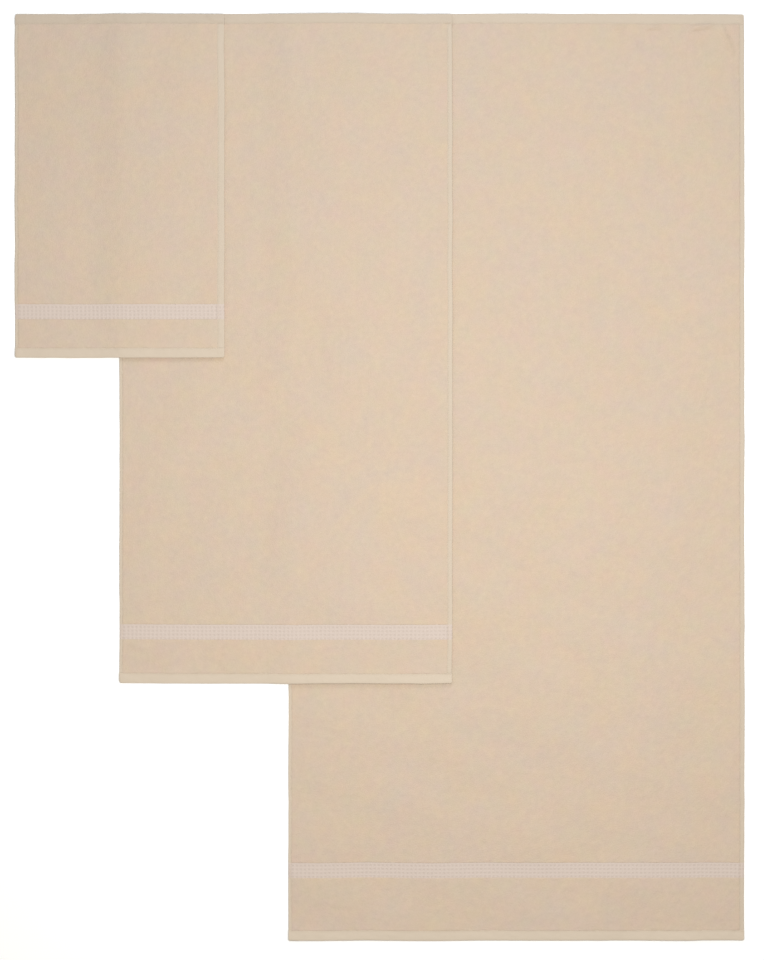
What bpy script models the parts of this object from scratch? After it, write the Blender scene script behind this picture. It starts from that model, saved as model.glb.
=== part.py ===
"""A set of three terry towels, laid flat one over another in a cascade.

Every towel is built the same way: a ground cloth with loop pile on both sides, a flat
dobby band near its lower end, four folded hems and the stitching that holds them. The
guest towel lies on the hand towel, and the hand towel on the bath towel, with their top
edges in line. An upper towel steps down over the left edge of the one below it.

Metres, +Z up. The towels' length runs along Y, their width along X, and the set's origin
is at the middle of the surface that it lies on.
"""

import math
from dataclasses import dataclass

import bmesh
import bpy

# Finished sizes: width across the towel, length down it.
GUEST_WIDTH, GUEST_LENGTH = 0.317, 0.520
HAND_WIDTH, HAND_LENGTH = 0.503, 1.012
BATH_WIDTH, BATH_LENGTH = 0.689, 1.400

# How far a lower towel's left edge lies in from the left edge of the one on top of it.
HAND_INSET = 0.158
BATH_INSET = 0.255

# The cloth, from its middle outwards.
GROUND_THICKNESS = 0.0006
PILE_HEIGHT = 0.0012
BAND_THICKNESS = 0.0007
HEM_PLY = 0.0008
THREAD_RADIUS = 0.00015
CLEARANCE = 0.0003

# Hems, measured from the towel's edge, and the stitch line, from the hem's inner edge. The
# side hems are turned by hand: the left ones are narrow, and the right ones differ.
END_HEM_WIDTH = 0.0155
LEFT_HEM_WIDTH = 0.005
GUEST_RIGHT_HEM_WIDTH = 0.011
HAND_RIGHT_HEM_WIDTH = 0.008
BATH_RIGHT_HEM_WIDTH = 0.0075
STITCH_INSET = 0.0015

# The band's height along the towel, and the pile left between it and the bottom hem.
BAND_HEIGHT = 0.0235
GUEST_END_PILE = 0.042
HAND_END_PILE = 0.050
BATH_END_PILE = 0.0785

# An upper towel comes down over a lower one's edge in a ramp of this length and this many steps.
RAMP_LENGTH = 0.030
RAMP_STEPS = 8
RAMP_CLEARANCE = 0.002

FOLD_STEPS = 6

# Heights above the surface that the towel lies on, from the underside up.
GROUND_LOW = PILE_HEIGHT + CLEARANCE
GROUND_HIGH = GROUND_LOW + GROUND_THICKNESS
FACE_LOW = GROUND_HIGH + CLEARANCE
FACE_HIGH = FACE_LOW + PILE_HEIGHT
MIDDLE = (GROUND_LOW + GROUND_HIGH) / 2
HEM_SLOT_RADIUS = GROUND_THICKNESS / 2 + CLEARANCE
HEM_RADIUS = HEM_SLOT_RADIUS + HEM_PLY
THREAD_HEIGHT = MIDDLE + HEM_RADIUS + CLEARANCE + THREAD_RADIUS
TOWEL_RISE = max(FACE_HIGH, THREAD_HEIGHT + THREAD_RADIUS) + CLEARANCE

# Colours as linear RGB.
PILE_COLOUR = (0.73, 0.57, 0.42, 1.0)
BAND_COLOUR = (0.72, 0.61, 0.51, 1.0)
HEM_COLOUR = (0.72, 0.58, 0.45, 1.0)
GROUND_COLOUR = (0.66, 0.52, 0.38, 1.0)
THREAD_COLOUR = (0.76, 0.64, 0.50, 1.0)


@dataclass
class Towel:
    """One towel: its size, where its left and top edges lie, and the edges that it climbs over."""

    name: str
    width: float
    length: float
    right_hem: float
    end_pile: float
    left: float
    top: float
    edges_below: tuple

    @property
    def right(self):
        return self.left + self.width

    @property
    def bottom(self):
        return self.top - self.length

    @property
    def field_left(self):
        return self.left + LEFT_HEM_WIDTH + CLEARANCE

    @property
    def field_right(self):
        return self.right - self.right_hem - CLEARANCE

    @property
    def field_top(self):
        return self.top - END_HEM_WIDTH - CLEARANCE

    @property
    def field_bottom(self):
        return self.bottom + END_HEM_WIDTH + CLEARANCE

    @property
    def band_bottom(self):
        return self.field_bottom + self.end_pile + CLEARANCE

    @property
    def band_top(self):
        return self.band_bottom + BAND_HEIGHT

    def underside(self, x):
        """Height of the towel's underside at x: one towel's rise for each lower edge it has climbed."""
        height = 0.0
        for edge in self.edges_below:
            done = (x - (edge - RAMP_CLEARANCE - RAMP_LENGTH)) / RAMP_LENGTH
            done = min(max(done, 0.0), 1.0)
            height += TOWEL_RISE * done * done * (3 - 2 * done)
        return height

    def stations(self, start, end):
        """Values of x from start to end, with one at each step of every ramp in between."""
        found = [start]
        for edge in self.edges_below:
            first = edge - RAMP_CLEARANCE - RAMP_LENGTH
            found += [first + RAMP_LENGTH * step / RAMP_STEPS for step in range(RAMP_STEPS + 1)]
        inside = [x for x in found if start < x < end]
        return [start, *inside, end]


def clear_scene():
    for obj in list(bpy.data.objects):
        bpy.data.objects.remove(obj, do_unlink=True)


def cloth_material(name, colour, roughness):
    material = bpy.data.materials.new(name)
    material.use_nodes = True
    shader = material.node_tree.nodes["Principled BSDF"]
    shader.inputs["Base Color"].default_value = colour
    shader.inputs["Roughness"].default_value = roughness
    shader.inputs["Metallic"].default_value = 0.0
    return material


def add_piece(towel, part, mesh, material):
    """Puts a mesh, made in world coordinates, under the towel's empty and gives it its own material."""
    piece = bpy.data.objects.new(f"{towel.name}_{part}", mesh)
    piece.data.materials.append(material)
    handle = bpy.data.objects[f"{towel.name}_towel"]
    piece.parent = handle
    piece.matrix_parent_inverse = handle.matrix_world.inverted()
    bpy.data.collections["bath_towel_set"].objects.link(piece)
    return piece


def extruded(name, outline, axis, positions):
    """A closed mesh: the outline extruded from the first position to the last, with cuts between.

    With axis 0 the outline's points are (y, z) and it is extruded along X; with axis 1 they
    are (x, z) and it is extruded along Y.
    """
    direction = [0.0, 0.0, 0.0]
    direction[axis] = 1.0
    bm = bmesh.new()
    corners = []
    for across, height in outline:
        point = [across, across, height]
        point[axis] = positions[0]
        corners.append(bm.verts.new(point))
    bm.faces.new(corners)
    grown = bmesh.ops.extrude_face_region(bm, geom=list(bm.faces))["geom"]
    moved = [item for item in grown if isinstance(item, bmesh.types.BMVert)]
    length = positions[-1] - positions[0]
    bmesh.ops.translate(bm, vec=[length * part for part in direction], verts=moved)
    for position in positions[1:-1]:
        everything = [*bm.verts, *bm.edges, *bm.faces]
        cut = [position * part for part in direction]
        bmesh.ops.bisect_plane(bm, geom=everything, plane_co=cut, plane_no=direction)
    bmesh.ops.recalc_face_normals(bm, faces=bm.faces)
    mesh = bpy.data.meshes.new(name)
    bm.to_mesh(mesh)
    bm.free()
    return mesh


def drape(towel, mesh):
    """Lifts every point to the height of the towel's underside there."""
    for vertex in mesh.vertices:
        vertex.co.z += towel.underside(vertex.co.x)


def add_slab(towel, part, x_range, y_range, z_range, material):
    """A flat layer of the towel, which follows the ramps."""
    (y_low, y_high), (z_low, z_high) = y_range, z_range
    outline = [(y_low, z_low), (y_high, z_low), (y_high, z_high), (y_low, z_high)]
    mesh = extruded(f"{towel.name}_{part}", outline, 0, towel.stations(*x_range))
    drape(towel, mesh)
    return add_piece(towel, part, mesh, material)


def hem_outline(outer, inner):
    """The section of a folded hem: one ply over, round the outer fold and back under.

    outer and inner are where the hem starts at the towel's edge and where it ends.
    """
    inward = 1 if inner > outer else -1
    centre = outer + inward * HEM_RADIUS
    angles = [math.pi / 2 + math.pi * step / FOLD_STEPS for step in range(FOLD_STEPS + 1)]

    def fold(radius):
        return [(centre + inward * radius * math.cos(a), MIDDLE + radius * math.sin(a)) for a in angles]

    outside = [(inner, MIDDLE + HEM_RADIUS), *fold(HEM_RADIUS), (inner, MIDDLE - HEM_RADIUS)]
    slot = [(inner, MIDDLE - HEM_SLOT_RADIUS), *reversed(fold(HEM_SLOT_RADIUS)), (inner, MIDDLE + HEM_SLOT_RADIUS)]
    return outside + slot


def add_hem(towel, part, outer, inner, axis, run, material):
    positions = towel.stations(*run) if axis == 0 else list(run)
    mesh = extruded(f"{towel.name}_{part}", hem_outline(outer, inner), axis, positions)
    drape(towel, mesh)
    return add_piece(towel, part, mesh, material)


def add_stitching(towel, part, route, material):
    """A run of sewing thread along (x, y) points, lying on its hem."""
    curve = bpy.data.curves.new(f"{towel.name}_{part}", "CURVE")
    curve.dimensions = "3D"
    curve.bevel_depth = THREAD_RADIUS
    curve.bevel_resolution = 2
    curve.use_fill_caps = True
    spline = curve.splines.new("POLY")
    spline.points.add(len(route) - 1)
    for point, (x, y) in zip(spline.points, route):
        point.co = (x, y, THREAD_HEIGHT + towel.underside(x), 1.0)
    return add_piece(towel, part, curve, material)


def add_handle(towel):
    """The empty that carries a towel's pieces, on the surface below the middle of its top edge."""
    handle = bpy.data.objects.new(f"{towel.name}_towel", None)
    handle.location = ((towel.left + towel.right) / 2, towel.top, 0.0)
    handle.empty_display_size = END_HEM_WIDTH
    bpy.data.collections["bath_towel_set"].objects.link(handle)
    bpy.context.view_layer.update()


def add_cloth(towel):
    """The ground cloth and the pile on both of its sides, on each side of the band."""
    ground = cloth_material(f"{towel.name} ground weave", GROUND_COLOUR, 0.9)
    pile = cloth_material(f"{towel.name} terry pile", PILE_COLOUR, 0.95)
    ends = HEM_RADIUS
    add_slab(
        towel,
        "ground_cloth",
        (towel.left + ends, towel.right - ends),
        (towel.bottom + ends, towel.top - ends),
        (GROUND_LOW, GROUND_HIGH),
        ground,
    )
    across = (towel.field_left, towel.field_right)
    fields = {
        "main": (towel.band_top + CLEARANCE, towel.field_top),
        "end": (towel.field_bottom, towel.band_bottom - CLEARANCE),
    }
    sides = {"face": (FACE_LOW, FACE_HIGH), "back": (0.0, PILE_HEIGHT)}
    for side, heights in sides.items():
        for field, along in fields.items():
            add_slab(towel, f"{side}_pile_{field}", across, along, heights, pile)


def add_band(towel):
    """The flat dobby band, lower than the pile on each side of it."""
    weave = cloth_material(f"{towel.name} dobby weave", BAND_COLOUR, 0.8)
    across = (towel.field_left, towel.field_right)
    heights = (FACE_LOW, FACE_LOW + BAND_THICKNESS)
    add_slab(towel, "dobby_band", across, (towel.band_bottom, towel.band_top), heights, weave)


def add_hems(towel):
    """The end hems run right across the towel, and the side hems between them."""
    plain = cloth_material(f"{towel.name} hem plain weave", HEM_COLOUR, 0.85)
    across = (towel.left, towel.right)
    add_hem(towel, "top_hem", towel.top, towel.top - END_HEM_WIDTH, 0, across, plain)
    add_hem(towel, "bottom_hem", towel.bottom, towel.bottom + END_HEM_WIDTH, 0, across, plain)
    along = (towel.field_bottom, towel.field_top)
    add_hem(towel, "left_hem", towel.left, towel.left + LEFT_HEM_WIDTH, 1, along, plain)
    add_hem(towel, "right_hem", towel.right, towel.right - towel.right_hem, 1, along, plain)


def add_seams(towel):
    """One run of stitching near the inner edge of each hem."""
    thread = cloth_material(f"{towel.name} sewing thread", THREAD_COLOUR, 0.6)
    across = towel.stations(towel.left + STITCH_INSET, towel.right - STITCH_INSET)
    end_line = END_HEM_WIDTH - STITCH_INSET
    left_line = towel.left + LEFT_HEM_WIDTH - STITCH_INSET
    right_line = towel.right - towel.right_hem + STITCH_INSET
    for part, y in (("top", towel.top - end_line), ("bottom", towel.bottom + end_line)):
        add_stitching(towel, f"{part}_hem_stitching", [(x, y) for x in across], thread)
    for part, x in (("left", left_line), ("right", right_line)):
        route = [(x, towel.field_bottom), (x, towel.field_top)]
        add_stitching(towel, f"{part}_hem_stitching", route, thread)


def towels():
    """The three towels, with their top edges in line and the whole set centred on the origin."""
    bath_left = HAND_INSET + BATH_INSET
    lefts = (0.0, HAND_INSET, bath_left)
    widths = (GUEST_WIDTH, HAND_WIDTH, BATH_WIDTH)
    middle = max(left + width for left, width in zip(lefts, widths)) / 2
    guest_x, hand_x, bath_x = (left - middle for left in lefts)
    top = max(GUEST_LENGTH, HAND_LENGTH, BATH_LENGTH) / 2
    return (
        Towel("bath", BATH_WIDTH, BATH_LENGTH, BATH_RIGHT_HEM_WIDTH, BATH_END_PILE, bath_x, top, ()),
        Towel("hand", HAND_WIDTH, HAND_LENGTH, HAND_RIGHT_HEM_WIDTH, HAND_END_PILE, hand_x, top, (bath_x,)),
        Towel(
            "guest",
            GUEST_WIDTH,
            GUEST_LENGTH,
            GUEST_RIGHT_HEM_WIDTH,
            GUEST_END_PILE,
            guest_x,
            top,
            (hand_x, bath_x),
        ),
    )


def main():
    clear_scene()
    collection = bpy.data.collections.new("bath_towel_set")
    bpy.context.scene.collection.children.link(collection)
    for towel in towels():
        add_handle(towel)
        add_cloth(towel)
        add_band(towel)
        add_hems(towel)
        add_seams(towel)


main()
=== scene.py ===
"""The looks of a set of three terry towels, which lie flat in a cascade, one over another.

Every towel is one cotton web: a ground weave with loops standing on both faces, a flat checked
dobby band near the lower end, and four folded hems held by lockstitch. Each yarn system and
each fold is a piece of its own. All the pieces of a towel are placed on one settled surface,
which comes from letting a sheet of the towel's size fall on a table, so they stay together.

Laid out as an add-on and run as a script. Metres, +Z up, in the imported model's frame.
"""

import math
from dataclasses import dataclass

import bpy
import numpy as np
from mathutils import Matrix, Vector


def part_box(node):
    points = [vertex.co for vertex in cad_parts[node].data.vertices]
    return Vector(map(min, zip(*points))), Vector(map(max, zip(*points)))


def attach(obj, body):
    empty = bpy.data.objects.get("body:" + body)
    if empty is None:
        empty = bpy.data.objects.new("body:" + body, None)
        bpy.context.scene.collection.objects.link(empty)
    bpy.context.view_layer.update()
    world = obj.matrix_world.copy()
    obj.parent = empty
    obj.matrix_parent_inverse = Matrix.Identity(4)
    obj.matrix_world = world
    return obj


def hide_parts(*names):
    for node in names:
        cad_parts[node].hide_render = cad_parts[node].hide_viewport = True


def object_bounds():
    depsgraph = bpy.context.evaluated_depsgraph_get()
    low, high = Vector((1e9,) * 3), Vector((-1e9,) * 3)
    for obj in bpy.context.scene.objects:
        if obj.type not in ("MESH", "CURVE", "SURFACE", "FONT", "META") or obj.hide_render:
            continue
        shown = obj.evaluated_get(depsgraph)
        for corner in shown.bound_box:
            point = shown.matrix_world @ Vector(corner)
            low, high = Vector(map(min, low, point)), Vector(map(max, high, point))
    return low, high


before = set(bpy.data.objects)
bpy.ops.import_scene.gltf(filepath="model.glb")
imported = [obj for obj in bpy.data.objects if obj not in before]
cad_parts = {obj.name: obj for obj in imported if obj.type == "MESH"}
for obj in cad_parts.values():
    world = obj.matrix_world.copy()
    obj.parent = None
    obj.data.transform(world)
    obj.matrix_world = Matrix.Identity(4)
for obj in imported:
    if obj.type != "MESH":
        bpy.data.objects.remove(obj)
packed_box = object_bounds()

bl_info = {
    "name": "Bath Towel Set",
    "version": (1, 0, 0),
    "blender": (4, 5, 0),
    "location": "View3D > Sidebar > Towels",
    "description": "Lays out and finishes a guest towel, a hand towel and a bath towel",
    "category": "Object",
}

MM = 0.001

# The bottom towel comes first. Each of the others lies on the one before it.
TOWEL_NAMES = ("bath", "hand", "guest")
LIES_ON = {"bath": None, "hand": "bath", "guest": "hand"}

# The settling sheet is simulated at ten times its size, where Blender's cloth is steadier. It
# starts a little way up and already uneven, its border is drawn in, and a cap holds its slip.
SIM_SCALE = 10.0
SIM_FRAMES = 30
SIM_PITCH = 20 * MM
DROP, DROP_UNEVEN = 4 * MM, 1.1 * MM
DRAWN_BORDER = 30 * MM
MOST_SLIP = 1.2 * MM
CLOTH = {
    "quality": 20,
    "mass": 0.3,
    "tension_stiffness": 20,
    "compression_stiffness": 20,
    "shear_stiffness": 8,
    "bending_stiffness": 30,
    "tension_damping": 10,
    "compression_damping": 10,
    "shear_damping": 10,
    "bending_damping": 2,
    "air_damping": 2,
}

# An edge strays in long waves and, less, in short ones. Stitching gathers a hem in puckers,
# which die away into the field, and the lower edge's curl does so faster.
LONG_WAVE, SHORT_WAVE, SHORT_SHARE = 130 * MM, 38 * MM, 0.35
PUCKER, END_REACH, SIDE_REACH = 27 * MM, 14 * MM, 10 * MM
CURL_REACH = 13 * MM

# First seeds of the random fields that aren't part of a towel's own lie.
PATCH_SEED, RIPPLE_SEED, THREAD_SEED = 40, 70, 90

# A small towel was smoothed flatter than a large one.
LIE_SHARE = {"bath": 1.0, "hand": 0.7, "guest": 0.35}

# The pile rounds off over a shoulder at its edges, where its loops spill over the seam beside it.
SHOULDER = 1.6 * MM
SPILL = 0.65 * MM
SPILL_REACH = 2.1 * MM
SHOULDER_LINES = (0.0, 0.15 * MM, 0.5 * MM, 1.0 * MM, 1.9 * MM)

# Neighbouring tufts stand high or low together in patches. Each leans its own way, by up to a
# share of the pitch, and those of the back are held level by the towel's weight.
TUFT_PATCH = 9 * MM
TUFT_LEAN = 0.24
BACK_UNEVEN = 0.2 * MM

# A layer's hidden side has one point for this many of its skin's. Loops and band are rooted a
# little off the ground weave, whose own points are wide apart.
BACKING_STEP = 4
ROOTED = 0.1 * MM
GROUND_MESH = 6 * MM

# How far the corners of the model's ramps, where one towel climbs another, are eased.
RAMP_EASE = 20.0 * MM

# Lines beside an edge, close enough to keep its smooth shading off the flat next to it.
EDGE_LINES = (0.0, 0.12 * MM)

# An end hem's corners are turned in, which rounds them.
CORNER_RADIUS = 2.5 * MM
CORNER_LINES = (0.0, 0.4 * MM, 1.1 * MM, 2.2 * MM)

# Height of the back's loops above what the towel lies on, and how far a pressed hem thins
# towards its fold.
LOWEST_LOOPS = 0.3 * MM
HEM_THINS = 0.35 * MM

# A run of stitches draws the hem's face down along a groove. Outside it the hem puffs up, from
# the fold and from the seam, over these widths.
SEAM_SINKS, GROOVE = 0.1 * MM, 0.8 * MM
HEM_PUFFS, FOLD_ROLL, SEAM_ROLL = 0.10 * MM, 2 * MM, 2.5 * MM

# The band has four rows of checks, and its relief is shallower where it crosses a side hem.
BAND_ROWS = 4
OVER_HEM = 0.8

# One stitch goes down at its hole, up over the cloth, lies along it and goes down again.
STITCH_PARTS = (0.0, 0.16, 0.5, 0.84)
STITCH_RISE = (-0.45 * MM, 0.06 * MM, 0.12 * MM, 0.06 * MM)
THREAD_STRAYS = 0.12 * MM

# How pale each hem is painted against the others, from -1, dullest, to 1, palest: painted light and
# shade that differ by side, the top hems darkest.
HEM_PAINTED_LIGHT = {
    "bath": {"top": 0.1, "bottom": 0.9, "left": 0.9, "right": 0.25},
    "hand": {"top": -0.4, "bottom": 0.75, "left": 0.9, "right": 0.25},
    "guest": {"top": -0.75, "bottom": 0.5, "left": 0.9, "right": 0.25},
}

# Soft grooves with a ridge beside them, where the cloth was pulled as it was laid. Each is
# (across and down from the towel's top left corner, half its run across and down, half its
# width, depth), in millimetres.
DENTS = {
    "bath": (
        (624, 23, 17, -3, 6, 4.0),
        (660, 40, 9, 22, 5, 3.4),
        (681, 8, 4, 4, 4, 1.6),
        (501, 23, 10, 1, 5, 2.4),
        (550, 23, 12, 0, 5, 2.6),
        (520, 50, 5, 18, 8, 1.8),
        (282, 14, 12, 2, 5, 1.3),
    ),
    "hand": ((493, 13, 8, 4, 5, 1.8), (30, 960, 14, 5, 7, 0.9)),
    "guest": ((106, 9, 14, -3, 5, 2.0), (300, 10, 10, 4, 5, 1.5), (302, 508, 12, 6, 8, 0.8)),
}

# The finest grain that still shows in a picture of the whole set. Loops, at about 1.9 mm, are
# finer than that, so the shade of the pile also wanders in tufts of this size.
SHOWN_GRAIN = 3.4 * MM

# How many waves a Wave texture makes in a unit of its scaled space, and the sockets of a Mix
# node's colours, which go by number because its other kinds share their names.
WAVES_IN_UNIT = 20.0 / (2 * math.pi)
COLOUR_A, COLOUR_B, COLOUR_OUT = 6, 7, 2

# The stage: half the floor's width, and where the lights hang and how wide they are.
FLOOR_REACH = 12.0
PANEL_PLACE = (0.21, -0.05, 1.9)
WINDOW_PLACE = (0.15, 1.9, 1.3)
LIGHT_WIDTH = 0.9


def linear(hex_colour):
    """An sRGB hex colour as linear red, green and blue."""
    parts = [int(hex_colour[i : i + 2], 16) / 255 for i in (1, 3, 5)]
    return tuple(p / 12.92 if p <= 0.04045 else ((p + 0.055) / 1.055) ** 2.4 for p in parts)


# --- What a user can change -------------------------------------------------------------------


def length(name, description, default, low=0.0):
    return bpy.props.FloatProperty(
        name=name,
        description=description,
        default=default,
        min=low,
        precision=5,
        subtype="DISTANCE",
        unit="LENGTH",
    )


def number(name, description, default, low=0.0):
    return bpy.props.FloatProperty(name=name, description=description, default=default, min=low)


def colour(name, description, hex_colour):
    return bpy.props.FloatVectorProperty(
        name=name,
        description=description,
        default=linear(hex_colour),
        size=3,
        min=0.0,
        max=1.0,
        subtype="COLOR",
    )


class LaySettings(bpy.types.PropertyGroup):
    """How the towels lie."""

    hill: length("Hill height", "The most that the cloth stands off what it lies on", 2.4 * MM)
    wander: length("Edge wander", "How far an edge strays from a straight line", 0.45 * MM)
    curl: length("Curl", "How far a towel's lower edge stands up off what it lies on", 1.3 * MM)
    gather: length("Gather", "Depth of the small puckers that a hem's stitching draws up", 0.4 * MM)
    seam_draw: number("Seam draw-in", "Share of its length that a hem loses to its stitching", 0.006)


class PileSettings(bpy.types.PropertyGroup):
    """The loops on both faces."""

    pitch: length("Tuft pitch", "Distance between the face pile's tufts", 3.2 * MM, 1.5 * MM)
    back_pitch: length("Back tuft pitch", "Distance between the back's tufts", 5.0 * MM, 2 * MM)
    height: length("Pile height", "How far the face loops stand above the ground weave", 1.5 * MM)
    uneven: length("Unevenness", "How much one tuft stands above or below the next", 0.14 * MM)
    loop: length("Loop width", "Width of one loop of pile yarn in its pattern", 1.9 * MM, 0.2 * MM)
    tone: colour("Pile colour", "Colour of the pile yarn", "#c3b09d")


class BandSettings(bpy.types.PropertyGroup):
    """The dobby band."""

    check: length("Check width", "Width of one check along the band", 6.2 * MM, 1 * MM)
    row: length("Check height", "Height of one row of checks", 5.6 * MM, 1 * MM)
    first_row: length("First row", "From the band's upper edge to its first row's middle", 5.2 * MM)
    relief: length("Relief", "Depth of a check below the ribs round it", 0.5 * MM)
    mesh: length("Mesh pitch", "Distance between the band's points", 0.8 * MM, 0.3 * MM)
    tone: colour("Band colour", "Colour of the band's smoother yarn", "#c6b7ad")


class HemSettings(bpy.types.PropertyGroup):
    """The folded hems and their stitching."""

    ply: length("Ply", "Thickness of one layer of the folded hem", 0.72 * MM, 0.2 * MM)
    pitch: length("Section pitch", "Distance between the sections of a hem", 3.0 * MM, 0.5 * MM)
    stitch: length("Stitch length", "Length of one lockstitch", 3.5 * MM, 1 * MM)
    thread: length("Thread radius", "Radius of the sewing thread", 0.16 * MM, 0.05 * MM)
    seam: length("Seam inset", "From a hem's inner edge to its stitching", 1.5 * MM)
    tone: colour("Hem colour", "Colour of the plain-woven hems", "#c6b7a5")
    thread_tone: colour("Thread colour", "Colour of the sewing thread", "#cbbdab")
    # The ground's colour is darker than the same web in the hems: painted shade for the gaps it shows
    # in.
    ground_tone: colour("Ground colour", "Colour of the ground weave under the loops", "#b6a389")


class StageSettings(bpy.types.PropertyGroup):
    """The floor, the lights and the camera."""

    view_height: length("View height", "Height of the picture where the towels lie", 1.4496, 0.1)
    view_right: length("View right", "How far the view's middle is right of the set's", 3.5 * MM, -1.0)
    view_up: length("View up", "How far the view's middle is above the set's", -4.2 * MM, -1.0)
    lens: number("Lens", "Focal length in millimetres", 85.0, 10.0)
    sky: number("Sky", "Strength of the even light from all round", 0.435)
    sky_tone: colour("Sky colour", "Colour of the even light", "#fffaf4")
    panel: number("Panel", "Power of the panel overhead, in watts", 31.9)
    panel_tone: colour("Panel colour", "Colour of the panel's light", "#fffffb")
    window: number("Window", "Power of the low cool window at the top end, in watts", 13.0)
    window_tone: colour("Window colour", "Colour of the window's light", "#e0eeff")
    floor_tone: colour("Floor colour", "Colour of the floor", "#fefefe")


SETTINGS = {
    "towel_lay": LaySettings,
    "towel_pile": PileSettings,
    "towel_band": BandSettings,
    "towel_hem": HemSettings,
    "towel_stage": StageSettings,
}


# --- The towels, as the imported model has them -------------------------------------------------


@dataclass
class Towel:
    """One towel's plan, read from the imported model, and the surface that it settles to."""

    name: str
    left: float
    right: float
    bottom: float
    top: float
    left_hem: float
    right_hem: float
    end_hem: float
    hem_low: float
    hem_high: float
    ground_low: float
    ground_high: float
    band_bottom: float
    band_top: float
    gap: float
    profile_x: np.ndarray
    profile_z: np.ndarray
    settled: np.ndarray = None
    below: "Towel" = None

    @property
    def width(self):
        return self.right - self.left

    @property
    def long(self):
        return self.top - self.bottom

    def hem_width(self, side):
        return {"left": self.left_hem, "right": self.right_hem}.get(side, self.end_hem)

    @property
    def field_left(self):
        return self.left + self.left_hem + self.gap

    @property
    def field_right(self):
        return self.right - self.right_hem - self.gap

    @property
    def field_bottom(self):
        return self.bottom + self.end_hem + self.gap

    @property
    def field_top(self):
        return self.top - self.end_hem - self.gap

    def underside(self, x):
        """Height of what the towel lies on at x, with the corners of the model's ramps eased."""
        spread = np.linspace(-RAMP_EASE, RAMP_EASE, 11)
        return np.mean([np.interp(x + step, self.profile_x, self.profile_z) for step in spread], axis=0)

    def shift(self, x, y):
        """How the cloth at x, y has moved from lying dead flat: across, along and up."""
        across, along, up = settled_shift(self, x, y)
        if self.below is not None:
            climbed = self.underside(x) / self.profile_z.max()
            up = up + climbed * self.below.shift(x, y)[2]
        return across, along, up

    def place(self, x, y, height):
        """World points for spots x, y of the flat towel, at a height above its underside."""
        across, along, up = self.shift(x, y)
        return np.stack([x + across, y + along, self.underside(x) + up + height], axis=-1)


towels = {}


def read_towel(name):
    """Reads a towel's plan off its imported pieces."""

    def span(part, axis):
        low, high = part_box(f"{name}_{part}")
        return low[axis], high[axis]

    left, right = span("top_hem", 0)
    bottom, top = span("bottom_hem", 1)[0], span("top_hem", 1)[1]
    left_hem, right_hem = span("left_hem", 0), span("right_hem", 0)
    end_hem = span("bottom_hem", 1)[1] - bottom
    back = np.array([v.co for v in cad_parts[f"{name}_back_pile_main"].data.vertices])
    stations = np.unique(np.round(back[:, 0], 6))
    heights = np.array([back[np.abs(back[:, 0] - x) < 0.01 * MM, 2].min() for x in stations])
    field_left = stations[0]
    foot = heights[0]
    ground_low, hem_low = span("ground_cloth", 2)[0] - foot, span("left_hem", 2)[0] - foot
    ground_rise = np.array([v.co[2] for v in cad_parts[f"{name}_ground_cloth"].data.vertices])
    hem_high = span("left_hem", 2)[1] - foot
    ground_high = ground_rise.max() - heights.max()
    band_bottom, band_top = span("dobby_band", 1)
    return Towel(
        name=name,
        left=left,
        right=right,
        bottom=bottom,
        top=top,
        left_hem=left_hem[1] - left_hem[0],
        right_hem=right_hem[1] - right_hem[0],
        end_hem=end_hem,
        hem_low=hem_low,
        hem_high=hem_high,
        ground_low=ground_low,
        ground_high=ground_high,
        band_bottom=band_bottom,
        band_top=band_top,
        gap=field_left - left_hem[1],
        profile_x=stations,
        profile_z=heights,
        below=towels.get(LIES_ON[name]),
    )


# --- The lie of the cloth ---------------------------------------------------------------------


def waves(x, y, wavelength, seed, count=14):
    """A smooth random field of about unit height, made of sine waves in all directions."""
    rng = np.random.default_rng(seed)
    total = np.zeros(np.broadcast(x, y).shape)
    for _ in range(count):
        angle, phase = rng.uniform(0, 2 * math.pi, 2)
        k = 2 * math.pi / (wavelength * rng.uniform(0.7, 1.6))
        total += np.sin(k * (x * math.cos(angle) + y * math.sin(angle)) + phase)
    return total / math.sqrt(count / 2)


def cubic_weights(t):
    """Catmull-Rom weights of the four grid lines round a fraction t."""
    return (
        ((-0.5 * t + 1.0) * t - 0.5) * t,
        (1.5 * t - 2.5) * t * t + 1.0,
        ((-1.5 * t + 2.0) * t + 0.5) * t,
        (0.5 * t - 0.5) * t * t,
    )


def read_grid(grid, u, v):
    """A (rows, columns, values) grid read smoothly at fractional columns u and rows v."""
    rows, columns = grid.shape[:2]
    u, v = np.clip(u, 0, columns - 1), np.clip(v, 0, rows - 1)
    iu, iv = np.minimum(u.astype(int), columns - 2), np.minimum(v.astype(int), rows - 2)
    across, along = cubic_weights(u - iu), cubic_weights(v - iv)
    total = np.zeros(u.shape + grid.shape[2:])
    for row in range(4):
        at_row = np.clip(iv + row - 1, 0, rows - 1)
        for column in range(4):
            at_column = np.clip(iu + column - 1, 0, columns - 1)
            total += (along[row] * across[column])[..., None] * grid[at_row, at_column]
    return total


def fading(away, reach, power=2):
    """1 where away is 0, dying away over the reach on both sides."""
    return np.exp(-((away / reach) ** power))


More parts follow.
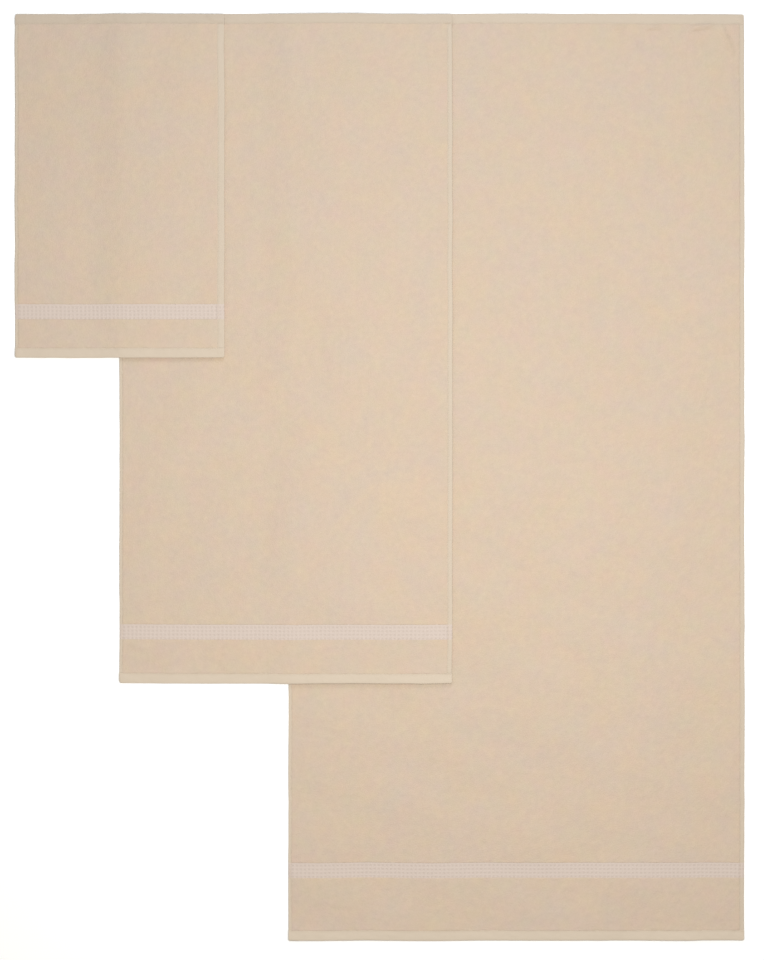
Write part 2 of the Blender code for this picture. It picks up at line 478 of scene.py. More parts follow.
def settled_shift(towel, x, y):
    """The towel's own shift at x, y: the fallen sheet's, with the hems' wander and gathers."""
    settings = bpy.context.scene.towel_lay
    x, y = np.broadcast_arrays(np.asarray(x, float), np.asarray(y, float))
    rows, columns = towel.settled.shape[:2]
    u = (x - towel.left) / towel.width * (columns - 1)
    v = (y - towel.bottom) / towel.long * (rows - 1)
    across, along, up = np.moveaxis(read_grid(towel.settled, u, v), -1, 0)
    seed = 10 * TOWEL_NAMES.index(towel.name)
    side = waves(0 * x, y, LONG_WAVE, seed + 1) + SHORT_SHARE * waves(0 * x, y, SHORT_WAVE, seed + 2)
    end = waves(x, 0 * y, LONG_WAVE, seed + 3) + SHORT_SHARE * waves(x, 0 * y, SHORT_WAVE, seed + 4)
    across = across + settings.wander * side * 0.5
    along = along + settings.wander * end * 0.5
    up = up + settings.curl * fading(y - towel.bottom, CURL_REACH)
    from_end = np.minimum(np.abs(y - towel.field_bottom), np.abs(towel.field_top - y))
    from_side = np.minimum(np.abs(x - towel.field_left), np.abs(towel.field_right - x))
    puckers = waves(x, y, PUCKER, seed + 5)
    near = fading(from_end, END_REACH) + 0.5 * fading(from_side, SIDE_REACH)
    up = up + settings.gather * near * np.maximum(puckers, -0.5) * 0.5
    for dent in DENTS[towel.name]:
        right, down, run_right, run_down, wide, deep = (MM * part for part in dent)
        run = math.hypot(run_right, run_down)
        ux, uy = run_right / run, -run_down / run
        aside, up_from = x - (towel.left + right), y - (towel.top - down)
        on, off = aside * ux + up_from * uy, up_from * ux - aside * uy
        # A groove on one side of the run and a ridge on the other.
        fade = fading(on, run, 4) * fading(off, wide)
        up = up + deep * fade * (0.6 + np.sin(1.6 * off / wide))
    return across, along, np.maximum(up, 0.0)


def fallen_sheet(towel, settings, seed):
    """Drops a sheet of the towel's size on a table and returns how far each of its points moved.

    The hems are drawn in a little by their stitching, so the field is left full and settles
    into low, soft hills.
    """
    columns, rows = (round(size / SIM_PITCH) + 1 for size in (towel.width, towel.long))
    x, y = np.meshgrid(np.linspace(0, towel.width, columns), np.linspace(0, towel.long, rows))
    start = DROP + DROP_UNEVEN * waves(x, y, 120 * MM, seed)
    flat = np.stack([x, y, 0 * x], axis=-1)
    points = (np.stack([x, y, start], axis=-1) * SIM_SCALE).reshape(-1, 3)
    index = np.arange(rows * columns).reshape(rows, columns)
    sheet = raw_object("settling_sheet", points, quads(index).tolist())
    table = flat_square("table", 2 * SIM_SCALE)
    table.modifiers.new("Collision", "COLLISION")
    table.collision.thickness_outer = 0.01
    table.collision.cloth_friction = 20
    hems = sheet.vertex_groups.new(name="hems")
    edge = np.minimum.reduce([x, towel.width - x, y, towel.long - y]) / DRAWN_BORDER
    for point, weight in enumerate(np.clip(1 - edge, 0, 1).reshape(-1)):
        hems.add([point], float(weight), "REPLACE")
    cloth = sheet.modifiers.new("Cloth", "CLOTH")
    for name, value in CLOTH.items():
        setattr(cloth.settings, name, value)
    cloth.settings.vertex_group_shrink = "hems"
    cloth.settings.shrink_max = settings.seam_draw
    cloth.collision_settings.distance_min = 0.015
    cloth.collision_settings.collision_quality = 3
    cloth.point_cache.frame_end = SIM_FRAMES
    for step in range(1, SIM_FRAMES + 1):
        bpy.context.scene.frame_set(step)
    settled = sheet.evaluated_get(bpy.context.evaluated_depsgraph_get()).to_mesh()
    fallen = np.empty(len(settled.vertices) * 3, np.float32)
    settled.vertices.foreach_get("co", fallen)
    fallen = fallen.reshape(rows, columns, 3).astype(float) / SIM_SCALE
    for helper in (sheet, table):
        bpy.data.objects.remove(helper, do_unlink=True)
    bpy.context.scene.frame_set(1)
    moved = fallen - flat
    moved[..., :2] = np.clip(moved[..., :2], -MOST_SLIP, MOST_SLIP)
    lowest = np.percentile(moved[..., 2], 3)
    moved[..., 2] = np.clip(moved[..., 2] - lowest, 0, settings.hill) * LIE_SHARE[towel.name]
    return moved


# --- Meshes and materials ---------------------------------------------------------------------


def raw_object(name, points, faces):
    mesh = bpy.data.meshes.new(name)
    mesh.from_pydata(points, [], faces)
    mesh.update()
    made = bpy.data.objects.new(name, mesh)
    bpy.context.scene.collection.objects.link(made)
    return made


def quads(index):
    """The faces of a grid of point numbers."""
    corners = [index[:-1, :-1], index[:-1, 1:], index[1:, 1:], index[1:, :-1]]
    return np.stack(corners, axis=-1).reshape(-1, 4)


def flat_square(name, reach):
    corners = [(-reach, -reach, 0.0), (reach, -reach, 0.0), (reach, reach, 0.0), (-reach, reach, 0.0)]
    return raw_object(name, corners, [(0, 1, 2, 3)])


def piece(towel, part, points, faces, material, stands_for, marks=None):
    """A smooth-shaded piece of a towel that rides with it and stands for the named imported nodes.

    marks are values stored at the points for the material to read.
    """
    made = raw_object(f"{towel.name}_towel_{part}", points.reshape(-1, 3), faces)
    made.data.shade_smooth()
    made.data.materials.append(material)
    for name, values in (marks or {}).items():
        stored = made.data.attributes.new(name, "FLOAT", "POINT")
        stored.data.foreach_set("value", np.ascontiguousarray(values, np.float32).reshape(-1))
    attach(made, f"{towel.name}_towel")
    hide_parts(*[f"{towel.name}_{node}" for node in stands_for])
    return made


def add_node(tree, kind, values=None, links=None, **settings):
    """Adds a node, sets its properties and its sockets' values, and links what feeds it."""
    made = tree.nodes.new(kind)
    for name, value in settings.items():
        setattr(made, name, value)
    for socket, value in (values or {}).items():
        made.inputs[socket].default_value = value
    for socket, source in (links or {}).items():
        tree.links.new(source, made.inputs[socket])
    return made


def cotton(name, roughness, sheen):
    """A cloth shader with nothing woven into it yet, as (material, tree, object position)."""
    material = bpy.data.materials.new(name)
    material.use_nodes = True
    tree = material.node_tree
    shader = tree.nodes["Principled BSDF"]
    shader.inputs["Roughness"].default_value = roughness
    shader.inputs["IOR"].default_value = 1.53
    shader.inputs["Specular IOR Level"].default_value = 0.2
    shader.inputs["Sheen Weight"].default_value = sheen
    shader.inputs["Sheen Roughness"].default_value = 0.55
    shader.inputs["Sheen Tint"].default_value = (*linear("#fff4e6"), 1.0)
    where = add_node(tree, "ShaderNodeTexCoord").outputs["Object"]
    return material, tree, where


def noise(tree, where, size, detail=2.0, stretch=(1.0, 1.0, 1.0)):
    """Values from 0 to 1 in patches of about the given size, longer along an axis by its stretch."""
    shrunk = [1 / s for s in stretch]
    scaled = add_node(tree, "ShaderNodeMapping", {"Scale": shrunk}, {"Vector": where}).outputs["Vector"]
    patches = {"Scale": 1 / size, "Detail": detail}
    return add_node(tree, "ShaderNodeTexNoise", patches, {"Vector": scaled}).outputs["Fac"]


def stored(tree, name):
    return add_node(tree, "ShaderNodeAttribute", attribute_name=name).outputs["Fac"]


def colour_in_layers(tree, tone, layers):
    """Colours the shader: the tone, or the socket that carries one, made paler or darker by layers,
    some of which are painted light and shade.

    A layer is (what drives it from 0 to 1, how much it changes red, green and blue either way).
    """
    for driver, swing in layers:
        factor = add_node(
            tree,
            "ShaderNodeVectorMath",
            {1: [2 * c for c in swing], 2: [1 - c for c in swing]},
            {0: driver},
            operation="MULTIPLY_ADD",
        ).outputs[0]
        is_socket = isinstance(tone, bpy.types.NodeSocket)
        values, links = ({}, {0: tone, 1: factor}) if is_socket else ({0: tone}, {1: factor})
        tone = add_node(tree, "ShaderNodeVectorMath", values, links, operation="MULTIPLY").outputs[0]
    tree.links.new(tone, tree.nodes["Principled BSDF"].inputs["Base Color"])


def raise_surface(tree, layers):
    """Chains a Bump node for each (height, depth in metres, strength) into the shader's normal."""
    normal = None
    for height, depth, strength in layers:
        feed = {"Height": height, **({"Normal": normal} if normal else {})}
        bump = add_node(tree, "ShaderNodeBump", {"Distance": depth, "Strength": strength}, feed)
        normal = bump.outputs["Normal"]
    tree.links.new(normal, tree.nodes["Principled BSDF"].inputs["Normal"])


def loops(tree, where, width):
    """The pile's loops from above: round tops, 1 in the middle and 0 in the gaps between them."""
    cells = add_node(
        tree,
        "ShaderNodeTexVoronoi",
        {"Scale": 1 / width, "Smoothness": 0.35, "Randomness": 0.9},
        {"Vector": where},
        feature="SMOOTH_F1",
    )
    top = add_node(
        tree,
        "ShaderNodeMapRange",
        {"From Min": 0.75, "From Max": 0.15, "To Min": 0.0, "To Max": 1.0},
        {"Value": cells.outputs["Distance"]},
    )
    return top.outputs["Result"]


def weave(tree, where, pitch):
    """A plain weave: threads over and under each other at the given pitch, 1 on top and 0 between."""
    threads = []
    for direction in ("X", "Y"):
        wave = add_node(
            tree,
            "ShaderNodeTexWave",
            {"Scale": 1 / (pitch * WAVES_IN_UNIT), "Distortion": 0.4, "Detail": 1.0},
            {"Vector": where},
            wave_type="BANDS",
            bands_direction=direction,
        )
        threads.append(wave.outputs["Fac"])
    crossed = dict(enumerate(threads))
    return add_node(tree, "ShaderNodeMath", links=crossed, operation="MULTIPLY").outputs[0]


def terry_loop_pile():
    """Uncut cotton loops: matt, soft at the edges, with painted shade between the loops and painted
    light on the taller tufts.
    """
    pile = bpy.context.scene.towel_pile
    material, tree, where = cotton("combed cotton terry, uncut loops", 0.95, 0.3)
    tufts = loops(tree, where, pile.loop)
    colour_in_layers(
        tree,
        pile.tone,
        [
            (noise(tree, where, 210 * MM), (0.014, 0.010, 0.012)),
            (noise(tree, where, 90 * MM), (0.016, 0.014, -0.070)),
            (noise(tree, where, 40 * MM), (0.052, -0.016, -0.026)),
            (noise(tree, where, 17 * MM), (0.014, 0.046, -0.030)),
            (noise(tree, where, 9 * MM), (0.058, 0.042, 0.036)),
            (noise(tree, where, SHOWN_GRAIN, 3.0, (1.0, 1.6, 1.0)), (0.014, 0.014, 0.018)),
            # Painted shade: the gaps between the loops are coloured darker than the loops' tops.
            (tufts, (0.018, 0.022, 0.028)),
            # Painted light and shade: a tuft that stands higher is coloured paler, a lower one darker.
            (stored(tree, "tuft"), (0.012, 0.014, 0.018)),
        ],
    )
    raise_surface(
        tree,
        [(tufts, 0.9 * MM, 0.25), (noise(tree, where, SHOWN_GRAIN, 3.0), 0.8 * MM, 0.15)],
    )
    return material


def dobby_weave():
    """A figured flat weave in a smoother, paler yarn: ribs round sunk checks, with painted shade in the
    checks and between the threads.
    """
    band = bpy.context.scene.towel_band
    material, tree, where = cotton("cotton dobby weave, small check", 0.8, 0.2)
    threads = weave(tree, where, 1.1 * MM)
    colour_in_layers(
        tree,
        band.tone,
        [
            (noise(tree, where, 90 * MM), (0.010, 0.010, 0.014)),
            (noise(tree, where, 9 * MM), (0.014, 0.014, 0.016)),
            # Painted shade: the sunk checks are coloured darker than the ribs round them.
            (stored(tree, "rib"), (0.035, 0.036, 0.038)),
            # Painted shade: the gaps between the threads are coloured darker than the threads on top.
            (threads, (0.015, 0.015, 0.018)),
        ],
    )
    raise_surface(tree, [(threads, 0.35 * MM, 0.5)])
    return material


def plain_hem_weave():
    """The web without its loops, folded and pressed: flat and paler than the pile, with painted light
    and shade on its puffs, in its seam groove, between its threads and by side.
    """
    hem = bpy.context.scene.towel_hem
    band = bpy.context.scene.towel_band
    material, tree, where = cotton("cotton plain weave, pressed hem", 0.85, 0.2)
    threads = weave(tree, where, 1.2 * MM)
    # The band runs over the side hems, so the mark "band" turns them to the band's yarn there.
    yarn = add_node(
        tree,
        "ShaderNodeMix",
        {COLOUR_A: (*hem.tone, 1.0), COLOUR_B: (*band.tone, 1.0)},
        {"Factor": stored(tree, "band")},
        data_type="RGBA",
    )
    colour_in_layers(
        tree,
        yarn.outputs[COLOUR_OUT],
        [
            (noise(tree, where, 80 * MM), (0.012, 0.012, 0.016)),
            (noise(tree, where, 12 * MM, 2.0, (2.0, 1.0, 1.0)), (0.016, 0.016, 0.020)),
            # Painted light and shade: the hem is coloured paler where it puffs up and darker in the
            # stitches' groove.
            (stored(tree, "painted_crown_and_groove"), (0.012, 0.014, 0.018)),
            # Painted light and shade: each hem is coloured paler or darker by its side of the towel.
            (stored(tree, "face"), (0.032, 0.035, 0.037)),
            # Painted shade in the band's sunk checks, where the band crosses a side hem.
            (stored(tree, "rib"), (0.035, 0.036, 0.038)),
            # Painted shade: the gaps between the threads are coloured darker than the threads on top.
            (threads, (0.015, 0.015, 0.018)),
        ],
    )
    raise_surface(tree, [(threads, 0.35 * MM, 0.5), (noise(tree, where, 6 * MM), 0.4 * MM, 0.3)])
    return material


def ground_weave():
    """The web that carries the loops: close, dull, and seen only in the gaps beside band and hems,
    where its darker colour is painted shade.
    """
    hem = bpy.context.scene.towel_hem
    material, tree, where = cotton("cotton ground weave", 0.95, 0.1)
    threads = weave(tree, where, 1.0 * MM)
    uneven = noise(tree, where, 20 * MM)
    # Painted shade: the ground is coloured darker than the hems' web, and darker still between its
    # threads.
    colour_in_layers(tree, hem.ground_tone, [(uneven, (0.02, 0.02, 0.025)), (threads, (0.03, 0.03, 0.03))])
    raise_surface(tree, [(threads, 0.3 * MM, 0.5)])
    return material


def sewing_thread():
    """Two-ply spun thread: a little glossier than the cloth, with a twist that breaks up its light."""
    hem = bpy.context.scene.towel_hem
    material, tree, where = cotton("two-ply spun sewing thread", 0.6, 0.15)
    twist = noise(tree, where, 1.2 * MM, 1.0)
    colour_in_layers(tree, hem.thread_tone, [(twist, (0.05, 0.05, 0.05))])
    raise_surface(tree, [(twist, 0.15 * MM, 0.6)])
    return material


stock = {}


def stocked(make):
    """The material that a function makes, made once."""
    if make not in stock:
        stock[make] = make()
    return stock[make]


# --- Ground cloth and pile --------------------------------------------------------------------


def lines(start, end, pitch, edge=()):
    """Grid lines from start to end at about the pitch, with extra ones at the edge distances."""
    inner = (max(edge) + pitch) if edge else 0.0
    count = max(round((end - start - 2 * inner) / pitch), 2)
    middle = np.linspace(start + inner, end - inner, count + 1)
    return np.unique(np.concatenate([[start + e for e in edge], middle, [end - e for e in edge]]))


def closed_layer(towel, xs, ys, skin, backing, upward, lean=(0.0, 0.0)):
    """Points and faces of a closed layer: a fine skin over a coarser backing, joined all round.

    skin and backing are heights above the towel's underside. The skin faces up, or down for
    the back of the towel. lean shifts the skin's points sideways, across and along.
    """
    columns, rows = len(xs), len(ys)
    x, y = np.meshgrid(xs, ys)
    fine = towel.place(x + lean[0], y + lean[1], skin)
    some_columns = [*range(0, columns - 1, BACKING_STEP), columns - 1]
    some_rows = [*range(0, rows - 1, BACKING_STEP), rows - 1]
    pick = np.ix_(some_rows, some_columns)
    coarse = towel.place(x[pick], y[pick], backing + 0 * x[pick])
    top = np.arange(rows * columns).reshape(rows, columns)
    low = top.size + np.arange(coarse.shape[0] * coarse.shape[1]).reshape(coarse.shape[:2])
    faces = quads(top).tolist() + quads(low)[:, ::-1].tolist()
    for at, (a, b) in enumerate(zip(some_columns, some_columns[1:])):
        faces.append([low[0, at], low[0, at + 1], *top[0, a : b + 1][::-1]])
        faces.append([low[-1, at + 1], low[-1, at], *top[-1, a : b + 1]])
    for at, (a, b) in enumerate(zip(some_rows, some_rows[1:])):
        faces.append([low[at + 1, 0], low[at, 0], *top[a : b + 1, 0]])
        faces.append([low[at, -1], low[at + 1, -1], *top[a : b + 1, -1][::-1]])
    if not upward:
        faces = [face[::-1] for face in faces]
    faces = [[int(corner) for corner in face] for face in faces]
    return np.concatenate([fine.reshape(-1, 3), coarse.reshape(-1, 3)]), faces


def fullness(places, at_edge):
    """How full the pile stands along a row of places: at_edge at its ends, 1 past the shoulders."""
    away = np.minimum(places - places[0], places[-1] - places)
    rounded = np.sqrt(1 - (1 - np.clip(away / SHOULDER, 0, 1)) ** 2)
    return at_edge + (1 - at_edge) * rounded


def spill(places):
    """How far the loops lean out over the nearer end of a row of places."""
    from_start = np.clip(1 - (places - places[0]) / SPILL_REACH, 0, 1)
    from_end = np.clip(1 - (places[-1] - places) / SPILL_REACH, 0, 1)
    return SPILL * (from_end - from_start)


def inside(xs, ys, reach):
    """1 over most of a grid, falling to a small share at its edges."""
    along_x = np.minimum(xs - xs[0], xs[-1] - xs) / reach
    along_y = np.minimum(ys - ys[0], ys[-1] - ys) / reach
    return np.clip(np.minimum.outer(along_y, along_x), 0.06, 1)


def pile_layer(towel, field_name, y_low, y_high, face):
    """The loops of one field on one side of the towel."""
    pile = bpy.context.scene.towel_pile
    pitch = pile.pitch if face else pile.back_pitch
    edge = SHOULDER_LINES if face else SHOULDER_LINES[::2]
    xs = lines(towel.field_left, towel.field_right, pitch, edge)
    ys = lines(y_low, y_high, pitch, edge)
    seed = [TOWEL_NAMES.index(towel.name), field_name == "end", int(face)]
    rng = np.random.default_rng(seed)
    shape = (len(ys), len(xs))
    # The skin's rim lies level with the hems and the band, so no trench opens beside them.
    if face:
        root, tip, rim = towel.ground_high + ROOTED, towel.ground_high + pile.height, towel.hem_high
    else:
        root, tip, rim = towel.ground_low - ROOTED, LOWEST_LOOPS, towel.hem_low
    at_edge = (rim - root) / (tip - root)
    full = np.minimum.outer(fullness(ys, at_edge), fullness(xs, at_edge))
    tuft = rng.normal(0, 1, shape).clip(-2, 2)
    x, y = np.meshgrid(xs, ys)
    rise = pile.uneven * (tuft + 0.6 * waves(x, y, TUFT_PATCH, seed[0] + PATCH_SEED))
    lean = rng.uniform(-TUFT_LEAN, TUFT_LEAN, (2, *shape)) * pitch * inside(xs, ys, pitch)
    lean += np.array(np.meshgrid(spill(xs), spill(ys)))
    if not face:
        rise = rise.clip(-BACK_UNEVEN, BACK_UNEVEN)
    skin = root + (tip - root + rise) * full
    points, faces = closed_layer(towel, xs, ys, skin, root, face, lean)
    # Painted light and shade: the value that raises a tuft also colours it paler, and a low tuft
    # darker.
    shade = (0.5 + 0.25 * tuft).clip(0, 1).reshape(-1)
    mark = np.concatenate([shade, np.full(len(points) - tuft.size, 0.5)])
    side = "face" if face else "back"
    return piece(
        towel,
        f"{side}_loops_{field_name}",
        points,
        faces,
        stocked(terry_loop_pile),
        [f"{side}_pile_{field_name}"],
        {"tuft": mark},
    )


# --- Band -------------------------------------------------------------------------------------


def check(towel, x, y):
    """The band's figure: 1 on the ribs and the borders, 0 in the middle of a sunk check."""
    band = bpy.context.scene.towel_band
    across = (x - towel.left) / band.check
    down = (towel.band_top - y - band.first_row) / band.row
    column_rib = 0.5 - 0.5 * np.cos(2 * math.pi * across)
    row_rib = 0.5 - 0.5 * np.cos(2 * math.pi * down)
    border = (down < -0.5) | (down > BAND_ROWS - 0.5)
    rib = np.where(border, 1.0, np.maximum(column_rib, row_rib))
    return np.clip(1.5 * rib - 0.25, 0, 1)


def band_layer(towel):
    band = bpy.context.scene.towel_band
    xs = lines(towel.field_left, towel.field_right, band.mesh, EDGE_LINES)
    ys = lines(towel.band_bottom, towel.band_top, band.mesh, EDGE_LINES)
    rib = check(towel, *np.meshgrid(xs, ys))
    # The ribs lie level with the stitches' groove in the hems.
    skin = towel.hem_high - SEAM_SINKS - band.relief * (1 - rib)
    points, faces = closed_layer(towel, xs, ys, skin, towel.ground_high + ROOTED, True)
    marks = {"rib": np.concatenate([rib.reshape(-1), np.zeros(len(points) - rib.size)])}
    dobby = stocked(dobby_weave)
    return piece(towel, "check_band", points, faces, dobby, ["dobby_band"], marks)


# --- Hems -------------------------------------------------------------------------------------


def hem_path(towel, width):
    """The middle line of a folded hem's cloth, from its inner edge over the fold and back under.

    Points are (distance in from the towel's edge, height above its underside).
    """
    ply = bpy.context.scene.towel_hem.ply
    low = towel.hem_low + ply / 2
    high = towel.hem_high - ply / 2 - HEM_THINS
    radius, middle = (high - low) / 2, (high + low) / 2
    centre = radius + ply / 2
    flat = np.append(width, np.linspace(width - EDGE_LINES[1], centre, 7))
    turn = np.linspace(0, math.pi, 8)[1:-1]
    over = [(s, high + HEM_THINS * (1 - ((width - s) / (width - centre)) ** 1.5)) for s in flat]
    fold = [(centre - radius * math.sin(a), middle + radius * math.cos(a)) for a in turn]
    under = [(s, low) for s in flat[::-1]]
    return np.array([*over, *fold, *under])


def ribbon_section(path, ply):
    """A closed outline round a path: half a ply out on each side, with rounded ends."""
    along = np.gradient(path, axis=0)
    along /= np.linalg.norm(along, axis=1, keepdims=True)
    out = np.stack([along[:, 1], -along[:, 0]], axis=1)
    outer, inner = path + out * ply / 2, path - out * ply / 2
    start_cap = path[0] - along[0] * ply * 0.35
    end_cap = path[-1] + along[-1] * ply * 0.35
    return np.array([start_cap, *outer, end_cap, *inner[::-1]])


def hem_piece(towel, side):
    """One folded hem, drawn in along its seam, with the band's check where the band crosses it."""
    hem, band = bpy.context.scene.towel_hem, bpy.context.scene.towel_band
    along_x = side in ("top", "bottom")
    width = towel.hem_width(side)
    section = ribbon_section(hem_path(towel, width), hem.ply)
    if along_x:
        run = lines(towel.left, towel.right, hem.pitch, CORNER_LINES)
    else:
        below = lines(towel.field_bottom, towel.band_bottom, hem.pitch, EDGE_LINES)
        beside = lines(towel.band_bottom, towel.band_top, band.mesh)
        above = lines(towel.band_top, towel.field_top, hem.pitch, EDGE_LINES)
        run = np.unique(np.concatenate([below, beside, above]))
    run, inward = np.meshgrid(run, section[:, 0], indexing="ij")
    height = np.broadcast_to(section[:, 1], run.shape)
    edge = {"left": towel.left, "right": towel.right, "top": towel.top, "bottom": towel.bottom}[side]
    sign = 1 if side in ("left", "bottom") else -1
    if along_x:
        from_corner = np.clip(np.minimum(run - towel.left, towel.right - run), 0, CORNER_RADIUS)
        rounding = CORNER_RADIUS - np.sqrt(CORNER_RADIUS**2 - (CORNER_RADIUS - from_corner) ** 2)
        inward = inward + rounding * np.clip(1 - inward / width, 0, 1)
    across = edge + sign * inward
    x, y = (run, across) if along_x else (across, run)
    over = height > (towel.hem_low + towel.hem_high) / 2
    from_seam = inward - (width - hem.seam)
    groove = fading(from_seam, GROOVE)
    puffed = np.clip(inward / FOLD_ROLL, 0, 1) * np.clip(-from_seam / SEAM_ROLL, 0, 1)
    ripple = waves(x, y, 11 * MM, RIPPLE_SEED + TOWEL_NAMES.index(towel.name), 10)
    lift = HEM_PUFFS * puffed * (1 + ripple) - SEAM_SINKS * groove
    # Painted light and shade: paler on the puffs, darker in the stitches' groove.
    painted_crown_and_groove = np.clip(0.5 + 0.5 * puffed - groove, 0, 1)
    in_band = (y > towel.band_bottom) & (y < towel.band_top) & (not along_x)
    rib = check(towel, x, y)
    lift = lift - in_band * OVER_HEM * band.relief * (1 - rib)
    points = towel.place(x, y, height + np.where(over, lift, -0.4 * np.minimum(lift, 0)))
    stations, around = points.shape[:2]
    index = np.arange(stations * around).reshape(stations, around)
    turned = np.roll(index, -1, axis=1)
    faces = np.stack([index[:-1], index[1:], turned[1:], turned[:-1]], axis=-1).reshape(-1, 4).tolist()
    faces += [index[0].tolist(), index[-1][::-1].tolist()]
    if (sign > 0) != along_x:
        faces = [face[::-1] for face in faces]
    marks = {
        # Painted light and shade on the hem's face: paler on the puffs, darker in the groove.
        "painted_crown_and_groove": np.where(over & ~in_band, painted_crown_and_groove, 0.5),
        "band": in_band,
        # Painted shade in the band's sunk checks, where the band crosses a side hem.
        "rib": np.where(in_band & over, rib, 0.5),
        # Painted light and shade that differ by the hem's side.
        "face": np.where(in_band, 0.5, HEM_PAINTED_LIGHT[towel.name][side]),
    }
    cloth = stocked(plain_hem_weave)
    return piece(towel, f"{side}_hem_fold", points, faces, cloth, [f"{side}_hem"], marks)


# --- Stitching --------------------------------------------------------------------------------


def thread_tube(path, radius, sides=6):
    """Points and faces of a closed round thread along a path."""
    along = np.gradient(path, axis=0)
    along /= np.linalg.norm(along, axis=1, keepdims=True)
    aside = np.cross(along, (0.0, 0.0, 1.0))
    aside /= np.linalg.norm(aside, axis=1, keepdims=True)
    up = np.cross(aside, along)
    turns = np.linspace(0, 2 * math.pi, sides, endpoint=False)
    ring = np.cos(turns)[:, None, None] * aside + np.sin(turns)[:, None, None] * up
    points = (path[None] + radius * ring).transpose(1, 0, 2)
    index = np.arange(points.shape[0] * sides).reshape(-1, sides)
    turned = np.roll(index, -1, axis=1)
    faces = np.stack([index[:-1], turned[:-1], turned[1:], index[1:]], axis=-1).reshape(-1, 4).tolist()
    faces += [index[0][::-1].tolist(), index[-1].tolist()]
    return points.reshape(-1, 3), faces


def lockstitch_piece(towel, side):
    """The stitching of one hem: a needle thread on the face and a bobbin thread on the back."""
    hem = bpy.context.scene.towel_hem
    inset = towel.hem_width(side) - hem.seam
    if side in ("top", "bottom"):
        start, end = towel.left + hem.seam, towel.right - hem.seam
        across = towel.top - inset if side == "top" else towel.bottom + inset
    else:
        start, end = towel.field_bottom, towel.field_top
        across = towel.left + inset if side == "left" else towel.right - inset
    count = round((end - start) / hem.stitch)
    steps = np.append((np.arange(count)[:, None] + STITCH_PARTS).reshape(-1), count) / count
    rise = np.append(np.tile(STITCH_RISE, count), STITCH_RISE[0])
    run = start + (end - start) * steps
    strayed = THREAD_STRAYS * waves(run, 0 * run, 30 * MM, THREAD_SEED)
    x, y = (run, across + strayed) if side in ("top", "bottom") else (across + strayed, run)
    face = towel.place(x, y, towel.hem_high - SEAM_SINKS + hem.thread + rise)
    back = towel.place(x, y, towel.hem_low + 0.4 * SEAM_SINKS - hem.thread - rise)
    points, faces = thread_tube(face, hem.thread)
    back_points, back_faces = thread_tube(back, hem.thread)
    points = np.concatenate([points, back_points])
    faces += [[corner + len(points) // 2 for corner in each] for each in back_faces]
    thread = stocked(sewing_thread)
    stands_for = [f"{side}_hem_stitching"]
    return piece(towel, f"{side}_hem_lockstitch", points, faces, thread, stands_for)


# --- Operators --------------------------------------------------------------------------------


SIDES = ("top", "bottom", "left", "right")


class TOWELS_OT_lay(bpy.types.Operator):
    """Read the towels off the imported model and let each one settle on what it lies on"""

    bl_idname = "towels.lay"
    bl_label = "Lay the Towels"

    def execute(self, context):
        for seed, name in enumerate(TOWEL_NAMES, 3):
            towels[name] = read_towel(name)
            towels[name].settled = fallen_sheet(towels[name], context.scene.towel_lay, seed)
        return {"FINISHED"}


class TOWELS_OT_pile(bpy.types.Operator):
    """Raise the loops on both faces of every towel, on each side of its band"""

    bl_idname = "towels.pile"
    bl_label = "Terry Pile"

    def execute(self, context):
        for towel in towels.values():
            for face in (True, False):
                pile_layer(towel, "main", towel.band_top + towel.gap, towel.field_top, face)
                pile_layer(towel, "end", towel.field_bottom, towel.band_bottom - towel.gap, face)
        return {"FINISHED"}


class TOWELS_OT_band(bpy.types.Operator):
    """Weave the checked dobby band of every towel"""

    bl_idname = "towels.band"
    bl_label = "Dobby Bands"

    def execute(self, context):
        for towel in towels.values():
            band_layer(towel)
        return {"FINISHED"}


class TOWELS_OT_hems(bpy.types.Operator):
    """Fold the four hems of every towel"""

    bl_idname = "towels.hems"
    bl_label = "Folded Hems"

    def execute(self, context):
        for towel in towels.values():
            for side in SIDES:
                hem_piece(towel, side)
        return {"FINISHED"}


class TOWELS_OT_stitching(bpy.types.Operator):
    """Sew the hems of every towel with lockstitch"""

    bl_idname = "towels.stitching"
    bl_label = "Lockstitch"

    def execute(self, context):
        for towel in towels.values():
            for side in SIDES:
                lockstitch_piece(towel, side)
        return {"FINISHED"}


class TOWELS_OT_ground(bpy.types.Operator):
    bl_idname = "towels.ground"
    bl_label = "Ground Weave"

    def execute(self, context):
        for towel in towels.values():
            inset = (towel.hem_high - towel.hem_low) / 2
            xs = lines(towel.left + inset, towel.right - inset, GROUND_MESH)
            ys = lines(towel.bottom + inset, towel.top - inset, GROUND_MESH)
            skin = np.full((len(ys), len(xs)), towel.ground_high)
            points, faces = closed_layer(towel, xs, ys, skin, towel.ground_low, True)
            web = stocked(ground_weave)
            ground = piece(towel, "ground", points, faces, web, ["ground_cloth"])
        return {"FINISHED"}


class TOWELS_OT_stage(bpy.types.Operator):
    """Set out the floor, the lights and the camera that looks straight down"""

    bl_idname = "towels.stage"
    bl_label = "Stage"

    def execute(self, context):
        stage = context.scene.towel_stage
        low, high = packed_box
        middle = (low + high) / 2
        add_floor(stage)
        add_lights(stage)
        add_camera(stage, middle)
        context.scene.view_settings.view_transform = "Standard"
        context.scene.view_settings.look = "None"
        return {"FINISHED"}


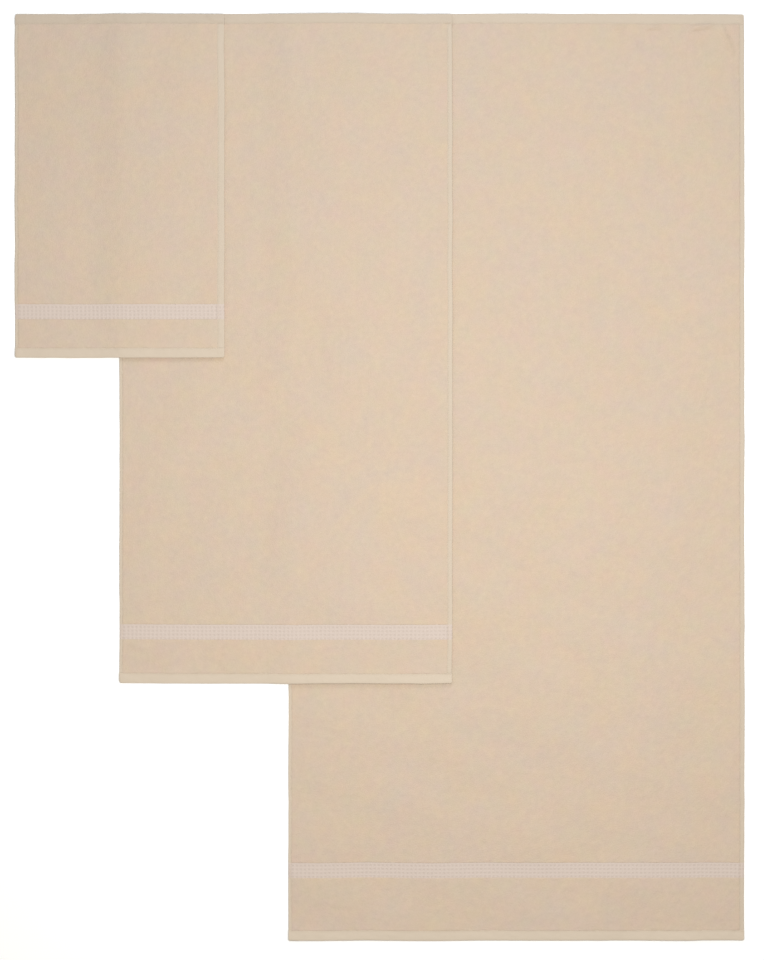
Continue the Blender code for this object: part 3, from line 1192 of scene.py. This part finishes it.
def add_floor(stage):
    """A large matt board, which the lowest towel lies on."""
    floor = flat_square("floor", FLOOR_REACH)
    material = bpy.data.materials.new("matt painted board")
    material.use_nodes = True
    tree = material.node_tree
    shader = tree.nodes["Principled BSDF"]
    shader.inputs["Roughness"].default_value = 0.9
    shader.inputs["Specular IOR Level"].default_value = 0.1
    where = add_node(tree, "ShaderNodeTexCoord").outputs["Object"]
    colour_in_layers(tree, stage.floor_tone, [(noise(tree, where, 2.5), (0.002, 0.002, 0.002))])
    floor.data.materials.append(material)


def add_lights(stage):
    """Even, faintly warm light from all round, a panel overhead and a low, cool window at the top."""
    world = bpy.data.worlds.new("studio")
    world.use_nodes = True
    sky = world.node_tree.nodes["Background"]
    sky.inputs["Color"].default_value = (*stage.sky_tone, 1.0)
    sky.inputs["Strength"].default_value = stage.sky
    bpy.context.scene.world = world
    add_soft_light("panel", stage.panel, stage.panel_tone, PANEL_PLACE)
    add_soft_light("window", stage.window, stage.window_tone, WINDOW_PLACE)


def add_soft_light(name, power, tone, place):
    """A round soft light that faces the middle of the set."""
    light = bpy.data.lights.new(name, "AREA")
    light.energy = power
    light.color = tone
    light.shape = "DISK"
    light.size = LIGHT_WIDTH
    lamp = bpy.data.objects.new(name, light)
    lamp.location = place
    lamp.rotation_euler = Vector(place).to_track_quat("Z", "Y").to_euler()
    lamp.visible_camera = False
    bpy.context.scene.collection.objects.link(lamp)


def add_camera(stage, middle):
    """A long lens straight above the set. The picture is view_height high where the towels lie."""
    lens = bpy.data.cameras.new("camera")
    lens.lens = stage.lens
    lens.clip_end = 100.0
    away = stage.view_height * stage.lens / lens.sensor_width
    camera = bpy.data.objects.new("camera", lens)
    camera.location = (middle.x + stage.view_right, middle.y + stage.view_up, middle.z + away)
    bpy.context.scene.collection.objects.link(camera)
    bpy.context.scene.camera = camera


OPERATORS = (
    TOWELS_OT_lay,
    TOWELS_OT_pile,
    TOWELS_OT_band,
    TOWELS_OT_hems,
    TOWELS_OT_stitching,
    TOWELS_OT_ground,
    TOWELS_OT_stage,
)


class TOWELS_PT_panel(bpy.types.Panel):
    """The towel set's steps and sizes in the sidebar"""

    bl_label = "Bath Towel Set"
    bl_space_type = "VIEW_3D"
    bl_region_type = "UI"
    bl_category = "Towels"

    def draw(self, context):
        for operator in OPERATORS:
            self.layout.operator(operator.bl_idname)
        for name, group in SETTINGS.items():
            box = self.layout.box()
            box.label(text=group.__name__.replace("Settings", ""))
            for field_name in group.__annotations__:
                box.prop(getattr(context.scene, name), field_name)


def register():
    for group in SETTINGS.values():
        bpy.utils.register_class(group)
    for name, group in SETTINGS.items():
        setattr(bpy.types.Scene, name, bpy.props.PointerProperty(type=group))
    for each in (*OPERATORS, TOWELS_PT_panel):
        bpy.utils.register_class(each)


def unregister():
    for each in (TOWELS_PT_panel, *reversed(OPERATORS)):
        bpy.utils.unregister_class(each)
    for name, group in SETTINGS.items():
        delattr(bpy.types.Scene, name)
        bpy.utils.unregister_class(group)


def main():
    register()
    for step in ("lay", "pile", "band", "hems", "stitching", "ground", "stage"):
        getattr(bpy.ops.towels, step)()


if __name__ == "__main__":
    main()
